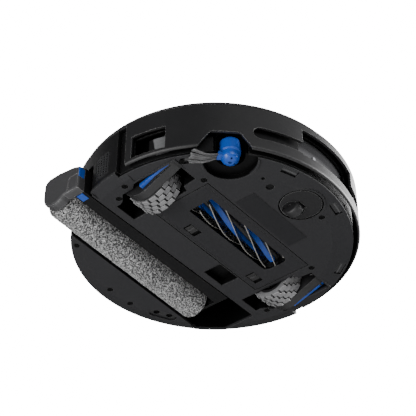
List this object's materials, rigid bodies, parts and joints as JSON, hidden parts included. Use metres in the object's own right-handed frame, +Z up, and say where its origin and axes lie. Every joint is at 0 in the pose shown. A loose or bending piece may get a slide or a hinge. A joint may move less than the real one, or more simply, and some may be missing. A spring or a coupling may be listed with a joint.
{
  "type": "robot vacuum",
  "caption": "Round robot vacuum with a front bumper, sprung drive wheels, a roller brush, a side brush, a swivel caster and a slide-out wet mop roller.",
  "frame": {"origin": "on the floor plane under the centre of the round body", "axes": "+Z up, front faces -Y, the robot's left is +X and its right, where the mop slides out, is -X"},
  "size_m": [0.3644, 0.3515, 0.1035],
  "materials": {
    "charcoal_plastic": "fine matte texture, near black",
    "base_plastic": "coarse matte moulded, dark grey",
    "top_plastic": "satin near black",
    "sensor_gloss": "dark gloss, infrared window",
    "grey_window": "light grey gloss",
    "lens": "dark lens",
    "blue_plastic": "satin blue",
    "wheel_rubber": "matte silver grey rubber",
    "hub_plastic": "matte dark grey",
    "bristle": "dark nylon bristle",
    "brush_fin": "soft dark blade with pale edge",
    "brush_core": "dark grey",
    "mop_cloth": "looped grey and white pile",
    "steel": "machined steel",
    "screw_black": "blackened screw",
    "circuit_green": "green board with dark parts",
    "battery_wrap": "blue shrink wrap",
    "tank_clear": "smoked tank plastic",
    "bin_plastic": "smoked bin plastic",
    "label_grey": "blank plate",
    "contact_metal": "plated contact",
    "light_ring": "white diffuser",
    "white_plastic": "off white"
  },
  "bodies": {
    "body": {"chassis_base": "base_plastic", "cliff_sensor_windows": "sensor_gloss", "bottom_screws": "screw_black", "rating_plate": "label_grey", "dock_water_port": "hub_plastic", "body_shell": "charcoal_plastic", "vent_grille": "charcoal_plastic", "top_shell": "top_plastic", "status_light": "light_ring", "front_sensor_panel": "sensor_gloss", "front_sensor_lenses": "lens", "side_sensor_panel": "grey_window", "arm_pivot_pins": "steel", "brush_end_bearing": "hub_plastic", "brush_gearbox": "hub_plastic", "side_brush_motor": "steel", "mop_slide_rail": "steel", "dustbin": "bin_plastic", "suction_fan": "white_plastic", "battery_pack": "battery_wrap", "main_board": "circuit_green", "clean_water_tank": "tank_clear", "dirty_water_tank": "tank_clear", "water_pump": "white_plastic", "speaker": "white_plastic", "charging_contacts": "contact_metal", "bumper_switches": "hub_plastic"},
    "bumper_shell": {"bumper": "charcoal_plastic"},
    "top_lid": {"top_cover": "top_plastic"},
    "start_key": {"start_button": "top_plastic"},
    "home_key": {"home_button": "top_plastic"},
    "right_arm": {"right_wheel_arm": "charcoal_plastic", "right_arm_trim": "blue_plastic", "right_drive_train": "white_plastic"},
    "left_arm": {"left_wheel_arm": "charcoal_plastic", "left_arm_trim": "blue_plastic", "left_drive_train": "white_plastic"},
    "right_wheel": {"right_tyre": "wheel_rubber", "right_wheel_hub": "hub_plastic"},
    "left_wheel": {"left_tyre": "wheel_rubber", "left_wheel_hub": "hub_plastic"},
    "main_brush": {"main_brush_core": "brush_core", "brush_blue_vanes": "blue_plastic", "brush_bristle_fins": "brush_fin"},
    "brush_guard": {"brush_cover": "base_plastic"},
    "right_guard_latch": {"right_cover_latch": "charcoal_plastic"},
    "left_guard_latch": {"left_cover_latch": "charcoal_plastic"},
    "side_brush": {"side_brush_hub": "blue_plastic", "side_brush_bristles": "bristle"},
    "caster_fork": {"caster_swivel": "charcoal_plastic", "caster_axle": "steel"},
    "caster_roller": {"caster_wheel": "hub_plastic"},
    "mop_carriage": {"mop_carriage_frame": "charcoal_plastic", "mop_end_cap": "charcoal_plastic", "mop_scraper": "brush_fin", "mop_roller_motor": "steel"},
    "mop_roller": {"mop_roller_core": "hub_plastic", "mop_fabric": "mop_cloth"},
    "release_tab": {"mop_release_tab": "blue_plastic"},
    "release_latch": {"mop_release_latch": "blue_plastic"}
  },
  "joints": [
    {"name": "bumper_press", "type": "slide", "parent": "body", "child": "bumper_shell", "axis": [0, 1, 0], "range_m": [0, 0.004], "stiffness_N_per_m": 400, "springref_m": -0.001},
    {"name": "lid_lift", "type": "slide", "parent": "body", "child": "top_lid", "axis": [0, 0, 1], "range_m": [0, 0.03]},
    {"name": "start_press", "type": "slide", "parent": "body", "child": "start_key", "axis": [0, 0, -1], "range_m": [0, 0.0012], "stiffness_N_per_m": 600, "springref_m": -0.001},
    {"name": "home_press", "type": "slide", "parent": "body", "child": "home_key", "axis": [0, 0, -1], "range_m": [0, 0.0012], "stiffness_N_per_m": 600, "springref_m": -0.001},
    {"name": "right_arm_swing", "type": "hinge", "parent": "body", "child": "right_arm", "pos_m": [-0.14, -0.05, 0.027], "axis": [1, 0, 0], "range_deg": [0, 16], "stiffness_Nm_per_rad": 1.2, "springref_deg": -22.92},
    {"name": "left_arm_swing", "type": "hinge", "parent": "body", "child": "left_arm", "pos_m": [0.14, -0.05, 0.027], "axis": [1, 0, 0], "range_deg": [0, 16], "stiffness_Nm_per_rad": 1.2, "springref_deg": -22.92},
    {"name": "right_wheel_spin", "type": "hinge", "parent": "right_arm", "child": "right_wheel", "pos_m": [-0.117, -0.006, 0.025], "axis": [1, 0, 0], "continuous": true},
    {"name": "left_wheel_spin", "type": "hinge", "parent": "left_arm", "child": "left_wheel", "pos_m": [0.117, -0.006, 0.025], "axis": [1, 0, 0], "continuous": true},
    {"name": "main_brush_spin", "type": "hinge", "parent": "body", "child": "main_brush", "pos_m": [0, -0.038, 0.0255], "axis": [1, 0, 0], "continuous": true},
    {"name": "guard_pull", "type": "slide", "parent": "body", "child": "brush_guard", "axis": [0, 0, -1], "range_m": [0, 0.03]},
    {"name": "right_latch_slide", "type": "slide", "parent": "brush_guard", "child": "right_guard_latch", "axis": [1, 0, 0], "range_m": [0, 0.003], "stiffness_N_per_m": 200, "springref_m": -0.002},
    {"name": "left_latch_slide", "type": "slide", "parent": "brush_guard", "child": "left_guard_latch", "axis": [1, 0, 0], "range_m": [0, 0.003], "stiffness_N_per_m": 200, "springref_m": -0.002},
    {"name": "side_brush_spin", "type": "hinge", "parent": "body", "child": "side_brush", "pos_m": [-0.1113, -0.1121, 0], "axis": [0, 0, -1], "continuous": true},
    {"name": "caster_turn", "type": "hinge", "parent": "body", "child": "caster_fork", "pos_m": [0, -0.129, 0], "axis": [0, 0, 1], "continuous": true},
    {"name": "caster_roll", "type": "hinge", "parent": "caster_fork", "child": "caster_roller", "pos_m": [0, -0.118, 0.0127], "axis": [1, 0, 0], "continuous": true},
    {"name": "mop_slide", "type": "slide", "parent": "body", "child": "mop_carriage", "axis": [1, 0, 0], "range_m": [0, 0.036]},
    {"name": "mop_spin", "type": "hinge", "parent": "mop_carriage", "child": "mop_roller", "pos_m": [0, 0.0965, 0.0185], "axis": [0.9994, 0.0349, 0], "continuous": true},
    {"name": "tab_press", "type": "slide", "parent": "mop_carriage", "child": "release_tab", "axis": [0, 1, 0], "range_m": [0, 0.0015], "stiffness_N_per_m": 600, "springref_m": -0.001},
    {"name": "latch_press", "type": "slide", "parent": "mop_carriage", "child": "release_latch", "axis": [0, 0, 1], "range_m": [0, 0.0015], "stiffness_N_per_m": 600, "springref_m": -0.001}
  ]
}
